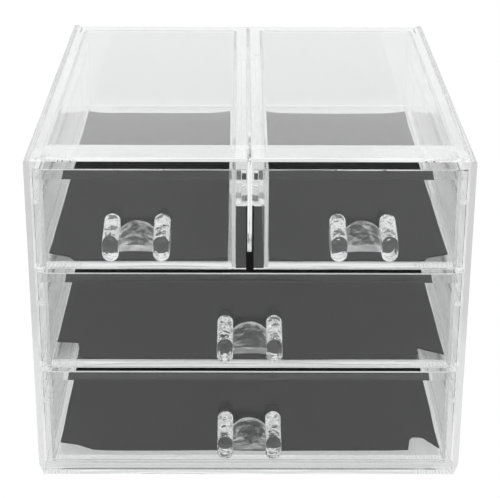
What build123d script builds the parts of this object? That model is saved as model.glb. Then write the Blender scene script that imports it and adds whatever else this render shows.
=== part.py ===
from build123d import *
import os

# Clear acrylic drawer cabinet: two small drawers over two full-width ones.
# Millimetres. X runs across the front, Y from the front to the back, Z up.
# The origin is the middle of the face that the cabinet stands on.

# ---- casing ----
casing_width = 240.0
casing_depth = 281.0
side_thickness = 3.2
back_thickness = 3.2
top_thickness = 3.4
shelf_thickness = 3.0
divider_thickness = 2.6
base_thickness = 3.0
sill_height = 4.2           # strip along the base panel's front edge
sill_thickness = 3.2
glue_line = 0.05            # solvent joint between two bonded panels
edge_ease = 0.3             # broken edge of a polished panel
shelf_setback = 9.0         # top panel and shelves stand back from the front
divider_setback = 25.5      # front edge of the centre divider
shelf_slot_width = 15.4     # slot in the upper shelf, between the small drawers
shelf_slot_end = 105.0
foot_chamfer_width = 2.6    # outer bottom corner of each side panel
foot_chamfer_height = 7.0
top_bevel_depth = 1.1       # the top panel thins towards its edges
top_bevel_front = 17.7
top_bevel_back = 20.0
top_bevel_side = 8.0
top_bevel_side_depth = 0.5

# ---- drawer fronts, counted from the lowest tier ----
tier_names = ("lower", "middle", "upper")
front_height = 57.4
front_thickness = 3.2
front_gap = 2.5             # between the fronts of two tiers
base_gap = 1.3              # lowest front to sill
top_gap = 1.3               # highest front to top panel
front_side_gap = 1.3        # front to side panel
centre_gap = 4.1            # between the two small fronts
front_head_height = 6.2     # bevel along the top of a front's inner face
front_head_depth = 2.0

# ---- drawer trays ----
tray_wall = 2.1
tray_floor_thickness = 2.6
tray_floor_lift = 0.4       # floor's underside above the front's lower edge
tray_back_gap = 0.6         # closed tray to the casing's back
tray_wall_drop = 1.4        # tray walls below the front's upper edge
small_tray_outer_inset = 2.8
small_tray_inner_inset = 5.75
large_tray_inset = 2.8
shelf_drop = 0.4            # shelf's top below the lower edge of the front above it

# ---- runners and rails ----
runner_level = 37.0         # runner's underside above the front's lower edge
runner_width = 3.3
runner_thickness = 3.0
rail_thickness = 3.0
rail_setback = 35.0
rail_side_gap = 0.4
slide_clearance = 0.25

# ---- liners ----
liner_thickness = 1.4
liner_rest = 0.1
liner_side_gap = 0.9
liner_front_gap = 0.8
liner_back_gap = 20.1       # the liner stops short of the tray's back

# ---- handles ----
handle_lift = 12.9          # foot of the posts above the front's lower edge
post_spacing = 26.8
post_length = 20.0
post_width = 8.8
post_root_height = 19.7
post_end_height = 14.4
post_end_round = 1.2
bridge_seat = 0.8           # how far the bridge reaches into each post
bridge_thickness = 2.6
bridge_root_height = 9.9    # its shoulders at the front, above the posts' foot
bridge_root_rise = 5.9
bridge_end_height = 9.0
bridge_end_thickness = 3.6
bridge_end_rise = 0.5
bridge_length = 19.0
peg_diameter = 4.0
peg_clearance = 0.05

# ---- pins that fix the top panel ----
pin_diameter = 1.4
pin_length = 6.0
pin_sink = 0.2
pin_clearance = 0.05
divider_pin_setbacks = (30.0, 233.5)
side_pin_inset = 1.8

# ---- what follows from the sizes above ----
front_plane = -casing_depth / 2
back_plane = casing_depth / 2
wall_face = casing_width / 2 - side_thickness
back_face = back_plane - back_thickness
shelf_front = front_plane + shelf_setback
sill_top = base_thickness + glue_line + sill_height
tier_pitch = front_height + front_gap
front_back = front_plane + front_thickness
tray_back_plane = back_face - tray_back_gap


def front_foot_z(tier):
    """Lower edge of a tier's drawer front."""
    return sill_top + base_gap + tier * tier_pitch


top_tier = len(tier_names) - 1
top_underside = front_foot_z(top_tier) + front_height + top_gap
casing_height = top_underside + top_thickness


def slab(x, y, z, ease=edge_ease):
    """A flat panel between two values on each axis, with its edges broken."""
    size = [high - low for low, high in (x, y, z)]
    centre = [(high + low) / 2 for low, high in (x, y, z)]
    return chamfer((Pos(*centre) * Box(*size)).edges(), ease)


def prism_across(outline, x):
    """An outline of (Y, Z) points, extruded across the cabinet."""
    face = make_face(Polyline(*[(x[0], y, z) for y, z in outline], close=True))
    return extrude(face, amount=x[1] - x[0], dir=(1, 0, 0))


def prism_back(outline, y):
    """An outline of (X, Z) points, extruded from front to back."""
    face = make_face(Polyline(*[(x, y[0], z) for x, z in outline], close=True))
    return extrude(face, amount=y[1] - y[0], dir=(0, 1, 0))


def pin_places():
    """Places of the pins on the top panel."""
    along_divider = [(0, front_plane + setback) for setback in divider_pin_setbacks]
    side_x = wall_face - side_pin_inset
    return along_divider + [(x, back_plane - back_thickness / 2) for x in (-side_x, 0, side_x)]


pin_top = casing_height - top_bevel_depth - pin_sink


def upright_rods(radius, low, high):
    """Rods of one radius at all the pins' places."""
    rod = Cylinder(radius, high - low, align=(Align.CENTER, Align.CENTER, Align.MIN))
    return [Pos(x, y, low) * rod for x, y in pin_places()]


def drilled(panel):
    """A panel with the pins' holes through what it has in their way."""
    for rod in upright_rods(pin_diameter / 2 + pin_clearance,
                            pin_top - pin_length - pin_clearance, casing_height + 1):
        panel = panel - rod
    return panel


def top_panel():
    """Bevelled along all four edges, let in between the side panels."""
    y0, y1 = shelf_front, back_plane
    x1 = wall_face - glue_line
    z0, z1 = top_underside, casing_height
    along = prism_across([(y0, z0), (y1, z0), (y1, z1 - top_bevel_depth),
                          (y1 - top_bevel_back, z1), (y0 + top_bevel_front, z1),
                          (y0, z1 - top_bevel_depth)], (-x1, x1))
    across = prism_back([(-x1, z0), (x1, z0), (x1, z1 - top_bevel_side_depth),
                         (x1 - top_bevel_side, z1), (top_bevel_side - x1, z1),
                         (-x1, z1 - top_bevel_side_depth)], (y0, y1))
    return drilled(along & across)


def side_panel(hand):
    """hand is -1 on the left and 1 on the right."""
    inner, outer = hand * wall_face, hand * casing_width / 2
    foot = outer - hand * foot_chamfer_width
    outline = [(inner, 0), (foot, 0), (outer, foot_chamfer_height),
               (outer, casing_height), (inner, casing_height)]
    panel = prism_back(outline, (front_plane, back_plane))
    upper = panel.edges().filter_by(Axis.Y).sort_by(Axis.Z)[-2:]
    return chamfer(upper, edge_ease)


def back_panel():
    x1 = wall_face - glue_line
    return drilled(slab((-x1, x1), (back_face, back_plane), (0, top_underside - glue_line)))


def between_sides(y, z):
    """A panel that spans the casing from side to side."""
    x1 = wall_face - glue_line
    return slab((-x1, x1), y, z)


def base_panel():
    return between_sides((front_plane, back_face - glue_line), (0, base_thickness))


def front_sill():
    return between_sides((front_plane, front_plane + sill_thickness),
                         (base_thickness + glue_line, sill_top))


def shelf_top(tier):
    """Top face of the shelf under a tier."""
    return front_foot_z(tier) - shelf_drop


def shelf(tier):
    top = shelf_top(tier)
    return between_sides((shelf_front, back_face - glue_line), (top - shelf_thickness, top))


def upper_shelf():
    """The shelf under the small drawers, slotted below the front of the divider."""
    top = shelf_top(top_tier)
    half = shelf_slot_width / 2
    slot = slab((-half, half), (shelf_front - 1, front_plane + shelf_slot_end),
                (top - shelf_thickness - 1, top + 1), ease=edge_ease / 2)
    return shelf(top_tier) - slot


def centre_divider():
    half = divider_thickness / 2
    return drilled(slab((-half, half), (front_plane + divider_setback, back_face - glue_line),
                        (shelf_top(top_tier) + glue_line, top_underside - glue_line)))


def rail(carrier_face, tray_face, tier):
    """A rail bonded to carrier_face, reaching towards the side of a tray."""
    step = 1 if tray_face > carrier_face else -1
    x = sorted((carrier_face + step * glue_line, tray_face - step * rail_side_gap))
    top = front_foot_z(tier) + runner_level - slide_clearance
    return slab(x, (front_plane + rail_setback, back_face - glue_line),
                (top - rail_thickness, top))


def front_panel(x, tier, post_xs):
    """A drawer front, bevelled inside along its top, with the handle's peg holes."""
    z0 = front_foot_z(tier)
    z1 = z0 + front_height
    y0, y1 = front_plane, front_back
    panel = prism_across([(y0, z0), (y0, z1), (y1 - front_head_depth, z1),
                          (y1, z1 - front_head_height), (y1, z0)], x)
    panel = chamfer(panel.edges().filter_by(Axis.X).group_by(Axis.Y)[0], edge_ease)
    for post_x in post_xs:
        panel = panel - handle_peg(post_x, z0, peg_diameter / 2 + peg_clearance, y1 + 1)
    return panel


def handle_peg(x, foot_z, radius, end_y):
    """A rod from the front's face back to end_y, on a post's centre line."""
    start_y = front_plane - glue_line
    plane = Plane(origin=(x, start_y, foot_z + handle_lift + post_root_height / 2),
                  x_dir=(1, 0, 0), z_dir=(0, 1, 0))
    return extrude(plane * Circle(radius), amount=end_y - start_y)


def handle_post(x, foot_z):
    """A post with a round top and a round foot that tapers in height to its rounded end."""
    y = front_plane - glue_line
    post = loft([post_section(x, y, foot_z, post_root_height),
                 post_section(x, y - post_length, foot_z, post_end_height)])
    return fillet(post.edges().group_by(Axis.Y)[0], post_end_round)


def post_section(x, y, foot_z, height):
    """One end of a post: straight sides between two half circles."""
    half = post_width / 2
    low = foot_z + handle_lift
    high = low + height
    head = ThreePointArc((x - half, y, high - half), (x, y, high), (x + half, y, high - half))
    foot = ThreePointArc((x - half, y, low + half), (x, y, low), (x + half, y, low + half))
    sides = [Line((x + hand * half, y, low + half), (x + hand * half, y, high - half))
             for hand in (-1, 1)]
    return make_face([head, foot] + sides)


def bridge_section(x, y, shoulder, thickness, rise):
    """One end of the bridge: a band with an arched top and an arched underside."""
    half = (post_spacing - post_width) / 2 + bridge_seat
    low = shoulder - thickness
    top = ThreePointArc((x - half, y, shoulder), (x, y, shoulder + rise), (x + half, y, shoulder))
    under = ThreePointArc((x - half, y, low), (x, y, low + rise), (x + half, y, low))
    sides = [Line((x + hand * half, y, low), (x + hand * half, y, shoulder)) for hand in (-1, 1)]
    return make_face([top, under] + sides)


def handle(post_xs, tier):
    """Two posts joined by an arched bridge, with a peg behind each post."""
    foot_z = front_foot_z(tier)
    x = sum(post_xs) / 2
    lift = foot_z + handle_lift
    root_y = front_plane - glue_line
    piece = loft([bridge_section(x, root_y, lift + bridge_root_height,
                                 bridge_thickness, bridge_root_rise),
                  bridge_section(x, root_y - bridge_length, lift + bridge_end_height,
                                 bridge_end_thickness, bridge_end_rise)])
    for post_x in post_xs:
        piece = piece + handle_post(post_x, foot_z)
        piece = piece + handle_peg(post_x, foot_z, peg_diameter / 2, front_back)
    return piece


def drawer(name, tier, front_x, insets):
    """The pieces of one drawer. insets are from the front's ends to the tray."""
    foot = front_foot_z(tier)
    tray_x = (front_x[0] + insets[0], front_x[1] - insets[1])
    inner_x = (tray_x[0] + tray_wall, tray_x[1] - tray_wall)
    middle = sum(tray_x) / 2
    post_xs = (middle - post_spacing / 2, middle + post_spacing / 2)
    front_y = front_back + glue_line
    floor_z = (foot + tray_floor_lift, foot + tray_floor_lift + tray_floor_thickness)
    wall_top = foot + front_height - tray_wall_drop
    tray_y = (front_y, tray_back_plane)
    bonded_x = (inner_x[0] + glue_line, inner_x[1] - glue_line)
    runner_z = (foot + runner_level, foot + runner_level + runner_thickness)
    liner_x = (inner_x[0] + liner_side_gap, inner_x[1] - liner_side_gap)
    liner_y = (front_back + liner_front_gap, tray_back_plane - tray_wall - liner_back_gap)
    liner_z = floor_z[1] + liner_rest
    left_x = (tray_x[0] - glue_line - runner_width, tray_x[0] - glue_line)
    right_x = (tray_x[1] + glue_line, tray_x[1] + glue_line + runner_width)
    return {
        name + "_front": front_panel(front_x, tier, post_xs),
        name + "_floor": slab(bonded_x, tray_y, floor_z),
        name + "_left_side": slab((tray_x[0], inner_x[0]), tray_y, (floor_z[0], wall_top)),
        name + "_right_side": slab((inner_x[1], tray_x[1]), tray_y, (floor_z[0], wall_top)),
        name + "_back": slab(bonded_x, (tray_back_plane - tray_wall, tray_back_plane),
                             (floor_z[1] + glue_line, wall_top)),
        name + "_left_runner": slab(left_x, tray_y, runner_z),
        name + "_right_runner": slab(right_x, tray_y, runner_z),
        name + "_liner": slab(liner_x, liner_y, (liner_z, liner_z + liner_thickness)),
        name + "_handle": handle(post_xs, tier),
    }


front_end = wall_face - front_side_gap
small_front = (centre_gap / 2, front_end)
small_insets = (small_tray_inner_inset, small_tray_outer_inset)
small_tray = (small_front[0] + small_insets[0], small_front[1] - small_insets[1])
large_tray_face = front_end - large_tray_inset
divider_face = divider_thickness / 2

pieces = {
    "top_panel": top_panel(),
    "left_side_panel": side_panel(-1),
    "right_side_panel": side_panel(1),
    "back_panel": back_panel(),
    "base_panel": base_panel(),
    "front_sill": front_sill(),
    "lower_shelf": shelf(1),
    "upper_shelf": upper_shelf(),
    "centre_divider": centre_divider(),
    "top_pins": Compound(upright_rods(pin_diameter / 2, pin_top - pin_length, pin_top)),
    "upper_left_outer_rail": rail(-wall_face, -small_tray[1], top_tier),
    "upper_left_inner_rail": rail(-divider_face, -small_tray[0], top_tier),
    "upper_right_inner_rail": rail(divider_face, small_tray[0], top_tier),
    "upper_right_outer_rail": rail(wall_face, small_tray[1], top_tier),
}
for tier in range(top_tier):
    for side, hand in (("left", -1), ("right", 1)):
        pieces[f"{tier_names[tier]}_{side}_rail"] = rail(
            hand * wall_face, hand * large_tray_face, tier)

pieces.update(drawer("upper_left_drawer", top_tier, (-small_front[1], -small_front[0]),
                     small_insets[::-1]))
pieces.update(drawer("upper_right_drawer", top_tier, small_front, small_insets))
for tier in range(top_tier):
    pieces.update(drawer(tier_names[tier] + "_drawer", tier, (-front_end, front_end),
                         (large_tray_inset, large_tray_inset)))

os.makedirs("parts", exist_ok=True)
for name, piece in pieces.items():
    export_step(piece, f"parts/{name}.step")
print(len(pieces), "pieces, casing height", round(casing_height, 2), "mm")
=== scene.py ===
import bpy
import math
from mathutils import Matrix, Vector, noise


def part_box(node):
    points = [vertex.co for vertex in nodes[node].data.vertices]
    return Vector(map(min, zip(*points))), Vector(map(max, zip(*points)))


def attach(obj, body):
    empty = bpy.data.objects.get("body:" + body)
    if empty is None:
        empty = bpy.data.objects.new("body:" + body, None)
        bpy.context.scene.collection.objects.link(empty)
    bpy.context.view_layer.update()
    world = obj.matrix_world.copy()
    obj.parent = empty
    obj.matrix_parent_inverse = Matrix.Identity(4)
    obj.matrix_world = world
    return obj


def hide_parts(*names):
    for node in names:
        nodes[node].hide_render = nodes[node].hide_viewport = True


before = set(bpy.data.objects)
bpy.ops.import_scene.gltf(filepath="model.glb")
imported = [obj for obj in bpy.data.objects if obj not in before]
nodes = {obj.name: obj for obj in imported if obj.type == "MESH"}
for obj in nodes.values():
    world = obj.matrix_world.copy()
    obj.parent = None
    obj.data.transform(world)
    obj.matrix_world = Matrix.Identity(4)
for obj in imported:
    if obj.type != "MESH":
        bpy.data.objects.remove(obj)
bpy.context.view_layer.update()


# --- The room ---------------------------------------------------------------
# A white light tent: the walls are an even white, a little brighter low behind
# the cabinet, where the lamp stands, and greyer round the camera.
world = bpy.data.worlds.new("light_tent")
bpy.context.scene.world = world
world.use_nodes = True
tent = world.node_tree.nodes
tent_links = world.node_tree.links
tent.clear()
tent_out = tent.new("ShaderNodeOutputWorld")
ways = tent.new("ShaderNodeTexCoord")
split = tent.new("ShaderNodeSeparateXYZ")
tent_links.new(ways.outputs["Generated"], split.inputs["Vector"])
depth_ramp = tent.new("ShaderNodeMapRange")
depth_ramp.interpolation_type = "SMOOTHSTEP"
depth_ramp.inputs["From Min"].default_value = -1.0
depth_ramp.inputs["From Max"].default_value = 0.9
depth_ramp.inputs["To Min"].default_value = 0.98
depth_ramp.inputs["To Max"].default_value = 1.30
tent_links.new(split.outputs["Y"], depth_ramp.inputs["Value"])
tent_light = tent.new("ShaderNodeBackground")
tent_light.inputs["Color"].default_value = (1.0, 1.0, 1.0, 1.0)
ray = tent.new("ShaderNodeLightPath")
through = tent.new("ShaderNodeMath")
through.operation = "MULTIPLY_ADD"
through.inputs[1].default_value = -0.25
tent_links.new(ray.outputs["Is Transmission Ray"], through.inputs[0])
tent_links.new(depth_ramp.outputs["Result"], through.inputs[2])
tent_links.new(through.outputs["Value"], tent_light.inputs["Strength"])
tent_fill = tent.new("ShaderNodeBackground")
tent_fill.inputs["Color"].default_value = (1.0, 1.0, 1.0, 1.0)
tent_fill.inputs["Strength"].default_value = 0.55
tent_white = tent.new("ShaderNodeBackground")
tent_white.inputs["Color"].default_value = (1.0, 1.0, 1.0, 1.0)
tent_white.inputs["Strength"].default_value = 1.0
mirror_or_through = tent.new("ShaderNodeMath")
mirror_or_through.operation = "MAXIMUM"
tent_links.new(ray.outputs["Is Glossy Ray"], mirror_or_through.inputs[0])
tent_links.new(ray.outputs["Is Transmission Ray"], mirror_or_through.inputs[1])
lit = tent.new("ShaderNodeMixShader")
tent_links.new(mirror_or_through.outputs["Value"], lit.inputs["Fac"])
tent_links.new(tent_fill.outputs["Background"], lit.inputs[1])
tent_links.new(tent_light.outputs["Background"], lit.inputs[2])
seen = tent.new("ShaderNodeMixShader")
tent_links.new(ray.outputs["Is Camera Ray"], seen.inputs["Fac"])
tent_links.new(lit.outputs["Shader"], seen.inputs[1])
tent_links.new(tent_white.outputs["Background"], seen.inputs[2])
tent_links.new(seen.outputs["Shader"], tent_out.inputs["Surface"])

cabinet_middle = Vector((0.0, 0.0, 0.1))
for lamp_name, lamp_place, lamp_size, lamp_power in (
        ("overhead_softbox", (0.0, -0.1, 1.5), 1.6, 9.0),
        ("left_softbox", (-1.2, -0.6, 0.9), 1.0, 4.0),
        ("right_softbox", (1.2, -0.6, 0.9), 1.0, 4.0)):
    bpy.ops.object.light_add(type="AREA", location=lamp_place)
    lamp = bpy.context.object
    lamp.name = lamp_name
    lamp.data.shape = "SQUARE"
    lamp.data.size = lamp_size
    lamp.data.energy = lamp_power
    to_cabinet = cabinet_middle - Vector(lamp_place)
    lamp.rotation_euler = to_cabinet.to_track_quat("-Z", "Y").to_euler()
    lamp.visible_glossy = False
    lamp.visible_transmission = False
    lamp.visible_camera = False


# --- The camera -------------------------------------------------------------
# It stands 0.8 m in front of the drawer fronts and looks down over the top.
bpy.ops.object.camera_add(location=(-0.00568, -0.9210, 0.46827))
camera = bpy.context.object
camera.name = "photo_camera"
camera.data.lens = 112.89
camera.data.sensor_width = 36.0
camera.data.clip_end = 50.0
camera.matrix_world = (Matrix.Translation(camera.location)
                       @ Matrix.Rotation(math.radians(-0.420), 4, "Z")
                       @ Matrix.Rotation(math.radians(90 - 22.783), 4, "X")
                       @ Matrix.Rotation(math.radians(0.264), 4, "Z"))
bpy.context.scene.camera = camera


# --- The floor --------------------------------------------------------------
# The bottom of the tent: a matt white sweep that takes a soft shadow.
bpy.ops.object.select_all(action="DESELECT")
bpy.ops.mesh.primitive_plane_add(size=6.0, location=(0, 0, -0.0005))
floor = bpy.context.object
floor.name = "tent_floor"
bpy.ops.object.transform_apply(location=True)
paper = bpy.data.materials.new("tent_paper")
paper.use_nodes = True
sheet_nodes = paper.node_tree.nodes
sheet_links = paper.node_tree.links
sheet_nodes.clear()
paper_out = sheet_nodes.new("ShaderNodeOutputMaterial")
paper_matt = sheet_nodes.new("ShaderNodeBsdfDiffuse")
paper_matt.inputs["Color"].default_value = (0.9, 0.9, 0.9, 1.0)
paper_glow = sheet_nodes.new("ShaderNodeEmission")
paper_glow.inputs["Color"].default_value = (1.0, 1.0, 1.0, 1.0)
paper_ray = sheet_nodes.new("ShaderNodeLightPath")
paper_through = sheet_nodes.new("ShaderNodeMath")
paper_through.operation = "MULTIPLY_ADD"
paper_through.inputs[1].default_value = -0.19
paper_through.inputs[2].default_value = 1.02
sheet_links.new(paper_ray.outputs["Is Transmission Ray"], paper_through.inputs[0])
sheet_links.new(paper_through.outputs["Value"], paper_glow.inputs["Strength"])
paper_mix = sheet_nodes.new("ShaderNodeMixShader")
paper_mix.inputs["Fac"].default_value = 0.96
sheet_links.new(paper_matt.outputs["BSDF"], paper_mix.inputs[1])
sheet_links.new(paper_glow.outputs["Emission"], paper_mix.inputs[2])
sheet_links.new(paper_mix.outputs["Shader"], paper_out.inputs["Surface"])
floor.data.materials.append(paper)


# --- Clear acrylic ----------------------------------------------------------
# Every panel, rail and runner is clear cast acrylic, cemented edge to face.
# The sheet has the faint waviness and the hairline scuffs of real stock.
acrylic_tint = (0.93, 0.935, 0.935, 1.0)
acrylic_index = 1.49
acrylic = bpy.data.materials.new("clear_cast_acrylic")
acrylic.use_nodes = True
a_nodes = acrylic.node_tree.nodes
a_links = acrylic.node_tree.links
a_nodes.clear()
a_out = a_nodes.new("ShaderNodeOutputMaterial")
a_body = a_nodes.new("ShaderNodeBsdfPrincipled")
a_body.inputs["Base Color"].default_value = acrylic_tint
a_body.inputs["Transmission Weight"].default_value = 1.0
a_body.inputs["IOR"].default_value = acrylic_index
a_place = a_nodes.new("ShaderNodeTexCoord")
a_wave = a_nodes.new("ShaderNodeTexNoise")
a_wave.inputs["Scale"].default_value = 14.0
a_wave.inputs["Detail"].default_value = 1.0
a_bump = a_nodes.new("ShaderNodeBump")
a_bump.inputs["Strength"].default_value = 0.04
a_bump.inputs["Distance"].default_value = 0.002
a_links.new(a_place.outputs["Object"], a_wave.inputs["Vector"])
a_links.new(a_wave.outputs["Fac"], a_bump.inputs["Height"])
a_flat = a_nodes.new("ShaderNodeNewGeometry")
a_links.new(a_flat.outputs["True Normal"], a_bump.inputs["Normal"])
a_links.new(a_bump.outputs["Normal"], a_body.inputs["Normal"])
a_scuff = a_nodes.new("ShaderNodeTexNoise")
a_scuff.inputs["Scale"].default_value = 45.0
a_scuff.inputs["Detail"].default_value = 6.0
a_links.new(a_place.outputs["Object"], a_scuff.inputs["Vector"])
a_rough = a_nodes.new("ShaderNodeMapRange")
a_rough.inputs["From Min"].default_value = 0.55
a_rough.inputs["From Max"].default_value = 0.85
a_rough.inputs["To Min"].default_value = 0.0
a_rough.inputs["To Max"].default_value = 0.05
a_links.new(a_scuff.outputs["Fac"], a_rough.inputs["Value"])
a_links.new(a_rough.outputs["Result"], a_body.inputs["Roughness"])
a_links.new(a_body.outputs["BSDF"], a_out.inputs["Surface"])

for name, piece in nodes.items():
    if name == "top_pins" or name.endswith(("_liner", "_handle")):
        continue
    piece.data.materials.clear()
    piece.data.materials.append(acrylic)


# --- Side walls -------------------------------------------------------------
# The sides of the casing and the trays are the same acrylic. They are looked
# along, and let more light by than a mirror-flat slab would at that angle, so
# half of the light that meets a wall's broad face passes the wall straight.
# Their front and back edges are saw-cut and matt, and a little greyer in tint: that grey is
# painted shade.
side_sheet = acrylic.copy()
side_sheet.name = "clear_side_sheet"
w_nodes = side_sheet.node_tree.nodes
w_links = side_sheet.node_tree.links
w_body = w_nodes["Principled BSDF"]
w_face = w_nodes.new("ShaderNodeNewGeometry")
w_turn = w_nodes.new("ShaderNodeSeparateXYZ")
w_links.new(w_face.outputs["True Normal"], w_turn.inputs["Vector"])
for axis in ("X", "Y"):
    across = w_nodes.new("ShaderNodeMath")
    across.name = "facing_" + axis
    across.operation = "ABSOLUTE"
    w_links.new(w_turn.outputs[axis], across.inputs[0])
# Each: which faces, what it sets there, its value on all others and on them.
# The greyer Base Color on the front and back edges is painted shade.
for axis, part, elsewhere, there in (("X", "solid_share", 1.0, 0.50),
                                     ("Y", "Roughness", 0.01, 0.40),
                                     ("Y", "Base Color", 0.93, 0.82)):
    pick = w_nodes.new("ShaderNodeMapRange")
    pick.name = part
    pick.inputs["From Min"].default_value = 0.90
    pick.inputs["From Max"].default_value = 0.95
    pick.inputs["To Min"].default_value = elsewhere
    pick.inputs["To Max"].default_value = there
    w_links.new(w_nodes["facing_" + axis].outputs["Value"], pick.inputs["Value"])
    if part in w_body.inputs:
        w_links.new(pick.outputs["Result"], w_body.inputs[part])
# A ray that went in straight comes out straight: it has passed an odd number.
w_path = w_nodes.new("ShaderNodeLightPath")
w_odd = w_nodes.new("ShaderNodeMath")
w_odd.operation = "MODULO"
w_odd.inputs[1].default_value = 2.0
w_links.new(w_path.outputs["Transparent Depth"], w_odd.inputs[0])
w_leave = w_nodes.new("ShaderNodeMath")
w_leave.operation = "SUBTRACT"
w_leave.inputs[0].default_value = 1.0
w_links.new(w_odd.outputs["Value"], w_leave.inputs[1])
w_solid = w_nodes.new("ShaderNodeMix")
w_links.new(w_face.outputs["Backfacing"], w_solid.inputs["Factor"])
w_links.new(w_nodes["solid_share"].outputs["Result"], w_solid.inputs["A"])
w_links.new(w_leave.outputs["Value"], w_solid.inputs["B"])
w_links.new(w_solid.outputs["Result"], w_body.inputs["Alpha"])
for name, piece in nodes.items():
    if name.endswith(("_left_side", "_right_side", "_side_panel")):
        piece.data.materials.clear()
        piece.data.materials.append(side_sheet)


# --- Pulls ------------------------------------------------------------------
# The pulls are moulded, not cut from sheet: clear all through, with the soft
# ripples of a hand-polished mould. The arched bridge between the posts is hazy.
moulded = bpy.data.materials.new("moulded_clear_acrylic")
moulded.use_nodes = True
p_nodes = moulded.node_tree.nodes
p_links = moulded.node_tree.links
p_body = p_nodes["Principled BSDF"]
p_body.inputs["Base Color"].default_value = (0.985, 0.99, 0.99, 1.0)
p_body.inputs["Transmission Weight"].default_value = 1.0
p_body.inputs["IOR"].default_value = acrylic_index
p_place = p_nodes.new("ShaderNodeTexCoord")
p_ripple = p_nodes.new("ShaderNodeTexNoise")
p_ripple.inputs["Scale"].default_value = 210.0
p_ripple.inputs["Detail"].default_value = 0.6
p_bump = p_nodes.new("ShaderNodeBump")
p_bump.inputs["Distance"].default_value = 0.0036
p_turn = p_nodes.new("ShaderNodeNewGeometry")
p_facing = p_nodes.new("ShaderNodeSeparateXYZ")
p_calm = p_nodes.new("ShaderNodeMapRange")
p_calm.inputs["From Min"].default_value = 0.6
p_calm.inputs["From Max"].default_value = 0.9
p_calm.inputs["To Min"].default_value = 0.18
p_calm.inputs["To Max"].default_value = 0.85
p_links.new(p_turn.outputs["Normal"], p_facing.inputs["Vector"])
p_links.new(p_facing.outputs["Z"], p_calm.inputs["Value"])
p_links.new(p_calm.outputs["Result"], p_bump.inputs["Strength"])
p_links.new(p_place.outputs["Object"], p_ripple.inputs["Vector"])
p_links.new(p_ripple.outputs["Fac"], p_bump.inputs["Height"])
p_links.new(p_bump.outputs["Normal"], p_body.inputs["Normal"])
# How far a point is from the nearest pull's middle: the bridge is within 9 mm.
p_where = p_nodes.new("ShaderNodeSeparateXYZ")
p_links.new(p_place.outputs["Object"], p_where.inputs["Vector"])
p_inner = p_nodes.new("ShaderNodeMath")
p_inner.operation = "ABSOLUTE"
p_links.new(p_where.outputs["X"], p_inner.inputs[0])
p_beside = p_nodes.new("ShaderNodeMath")
p_beside.operation = "SUBTRACT"
pull_low, pull_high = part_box("upper_right_drawer_handle")
p_beside.inputs[1].default_value = (pull_low.x + pull_high.x) / 2
p_links.new(p_inner.outputs["Value"], p_beside.inputs[0])
p_outer = p_nodes.new("ShaderNodeMath")
p_outer.operation = "ABSOLUTE"
p_links.new(p_beside.outputs["Value"], p_outer.inputs[0])
p_near = p_nodes.new("ShaderNodeMath")
p_near.operation = "MINIMUM"
p_links.new(p_inner.outputs["Value"], p_near.inputs[0])
p_links.new(p_outer.outputs["Value"], p_near.inputs[1])
p_haze = p_nodes.new("ShaderNodeMapRange")
p_haze.inputs["From Min"].default_value = 0.0087
p_haze.inputs["From Max"].default_value = 0.0091
p_haze.inputs["To Min"].default_value = 0.34
p_haze.inputs["To Max"].default_value = 0.01
p_links.new(p_near.outputs["Value"], p_haze.inputs["Value"])
p_links.new(p_haze.outputs["Result"], p_body.inputs["Roughness"])

for drawer in ("upper_left_drawer", "upper_right_drawer", "middle_drawer", "lower_drawer"):
    pull = nodes[drawer + "_handle"]
    pull.data.materials.clear()
    pull.data.materials.append(moulded)


# --- Pins -------------------------------------------------------------------
# Thin dark steel pins that hold the top panel down on the divider and back.
steel = bpy.data.materials.new("dark_steel")
steel.use_nodes = True
s_nodes = steel.node_tree.nodes
s_body = s_nodes["Principled BSDF"]
s_body.inputs["Metallic"].default_value = 1.0
s_grain = s_nodes.new("ShaderNodeTexNoise")
s_grain.inputs["Scale"].default_value = 900.0
s_place = s_nodes.new("ShaderNodeTexCoord")
s_tone = s_nodes.new("ShaderNodeMapRange")
s_tone.inputs["To Min"].default_value = 0.25
s_tone.inputs["To Max"].default_value = 0.5
steel.node_tree.links.new(s_place.outputs["Object"], s_grain.inputs["Vector"])
steel.node_tree.links.new(s_grain.outputs["Fac"], s_tone.inputs["Value"])
steel.node_tree.links.new(s_tone.outputs["Result"], s_body.inputs["Roughness"])
s_body.inputs["Base Color"].default_value = (0.12, 0.12, 0.13, 1.0)
nodes["top_pins"].data.materials.clear()
nodes["top_pins"].data.materials.append(steel)


# --- Liners -----------------------------------------------------------------
# Thin black flocked mats, cut a little small and laid loose on the trays'
# floors. Their corners curl and their edges are not quite straight.
flock = bpy.data.materials.new("black_flock")
flock.use_nodes = True
f_nodes = flock.node_tree.nodes
f_links = flock.node_tree.links
f_body = f_nodes["Principled BSDF"]
f_body.inputs["Roughness"].default_value = 0.95
f_body.inputs["Specular IOR Level"].default_value = 0.2
f_body.inputs["Sheen Weight"].default_value = 0.15
f_body.inputs["Sheen Roughness"].default_value = 0.5
f_place = f_nodes.new("ShaderNodeTexCoord")
f_fibre = f_nodes.new("ShaderNodeTexNoise")
f_fibre.inputs["Scale"].default_value = 900.0
f_fibre.inputs["Detail"].default_value = 2.0
f_cloud = f_nodes.new("ShaderNodeTexNoise")
f_cloud.inputs["Scale"].default_value = 25.0
f_cloud.inputs["Detail"].default_value = 3.0
f_tone = f_nodes.new("ShaderNodeValToRGB")
f_tone.color_ramp.elements[0].position = 0.3
f_tone.color_ramp.elements[0].color = (0.004, 0.004, 0.0045, 1.0)
f_tone.color_ramp.elements[1].position = 0.75
f_tone.color_ramp.elements[1].color = (0.009, 0.009, 0.0095, 1.0)
f_bump = f_nodes.new("ShaderNodeBump")
f_bump.inputs["Strength"].default_value = 0.25
f_bump.inputs["Distance"].default_value = 0.0003
f_links.new(f_place.outputs["Object"], f_fibre.inputs["Vector"])
f_links.new(f_place.outputs["Object"], f_cloud.inputs["Vector"])
f_links.new(f_cloud.outputs["Fac"], f_tone.inputs["Fac"])
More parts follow.
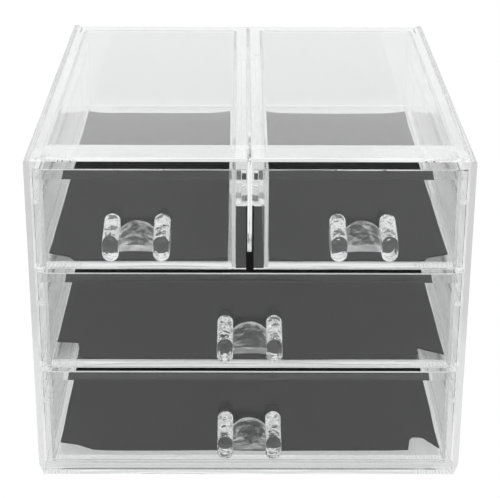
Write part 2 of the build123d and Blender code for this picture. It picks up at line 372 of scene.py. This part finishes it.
f_links.new(f_tone.outputs["Color"], f_body.inputs["Base Color"])
f_links.new(f_fibre.outputs["Fac"], f_bump.inputs["Height"])
f_links.new(f_bump.outputs["Normal"], f_body.inputs["Normal"])

mat_thickness = 0.0010
mat_curl = 0.0014
mat_columns, mat_rows = 110, 70
narrower = 0.0005
above_floor = 0.0001
edge_ripple = 0.0006
side_waver, end_waver = 0.0005, 0.0012
curl_from_side, curl_from_end = 0.72, 0.8
front_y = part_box("lower_drawer_front")[0].y
# Each mat: how far it lies to the side in its tray, how far behind the front's
# face it starts in the middle, and what is missing at its left and right front
# corners, as the distance in from the mat's side and the piece cut off there.
whole = ((0.0, 0.0),)
mats = {
    "upper_left_drawer": (-0.0007, 0.0040,
                          ((0.0, 0.0072), (0.0120, 0.0042), (0.0140, 0.0)), whole),
    "upper_right_drawer": (-0.0007, 0.0040,
                           whole, ((0.0, 0.0064), (0.0115, 0.0044), (0.0135, 0.0))),
    "middle_drawer": (0.0, 0.0042,
                      ((0.0, 0.0190), (0.0125, 0.0190), (0.0150, 0.0)),
                      ((0.0, 0.0035), (0.0150, 0.0135), (0.0170, 0.0))),
    "lower_drawer": (0.0002, 0.0068,
                     ((0.0, 0.0068), (0.0100, 0.0050), (0.0200, 0.0)),
                     ((0.0, 0.0), (0.0085, 0.0135), (0.0155, 0.0143), (0.0175, 0.0)))}


def cut_off(corner, distance):
    """How much is missing at a distance in from the mat's side."""
    for (near, deep), (far, shallow) in zip(corner, corner[1:]):
        if near <= distance <= far:
            return deep + (shallow - deep) * (distance - near) / (far - near)
    return 0.0


for number, (drawer, (aside, start, left_cut, right_cut)) in enumerate(mats.items()):
    low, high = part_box(drawer + "_liner")
    width, length = high.x - low.x - narrower, high.y - front_y - start
    middle = Vector(((low.x + high.x) / 2 + aside, high.y - length / 2, low.z))
    bpy.ops.object.select_all(action="DESELECT")
    bpy.ops.mesh.primitive_grid_add(x_subdivisions=mat_columns, y_subdivisions=mat_rows,
                                    size=1.0, location=middle)
    mat = bpy.context.object
    mat.name = drawer + "_flocked_mat"
    mat.scale = (width, length, 1.0)
    bpy.ops.object.transform_apply(location=True, scale=True)
    for v in mat.data.vertices:
        u = (v.co.x - middle.x) / (width / 2)
        w = (v.co.y - middle.y) / (length / 2)
        corner = (max(0.0, abs(u) - curl_from_side) / (1 - curl_from_side)
                  * max(0.0, abs(w) - curl_from_end) / (1 - curl_from_end))
        ripple = 0.5 + 0.5 * noise.noise(Vector((v.co.x * 22, v.co.y * 16, number * 5.0)))
        edge = max(abs(u), abs(w)) ** 6
        v.co.z = low.z + above_floor + mat_curl * corner ** 1.3 + edge_ripple * ripple * edge
        cut = (cut_off(left_cut, max(0.0, (1 + u) * width / 2))
               + cut_off(right_cut, max(0.0, (1 - u) * width / 2)))
        v.co.y += cut * (1 - w) / 2
        waver = 0.5 + 0.5 * noise.noise(Vector((v.co.y * 30, number, 0)))
        v.co.x -= side_waver * waver * u ** 5
        waver = 0.5 + 0.5 * noise.noise(Vector((v.co.x * 25, number, 7)))
        v.co.y -= end_waver * waver * w ** 5
    thick = mat.modifiers.new("felt_thickness", "SOLIDIFY")
    thick.thickness = mat_thickness
    thick.offset = 1.0
    bpy.ops.object.modifier_apply(modifier=thick.name)
    bpy.ops.object.shade_smooth_by_angle(angle=math.radians(40))
    mat.data.materials.append(flock)
    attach(mat, drawer)
    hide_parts(drawer + "_liner")


# --- How the light runs in the clear sheet ----------------------------------
# A line of sight crosses a dozen panels before it leaves the cabinet.
cycles = bpy.context.scene.cycles
cycles.max_bounces = 160
cycles.transmission_bounces = 160
cycles.glossy_bounces = 160
cycles.diffuse_bounces = 4
cycles.transparent_max_bounces = 160
cycles.caustics_refractive = True
cycles.caustics_reflective = True
cycles.use_denoising = True
bpy.context.scene.view_settings.view_transform = "Standard"
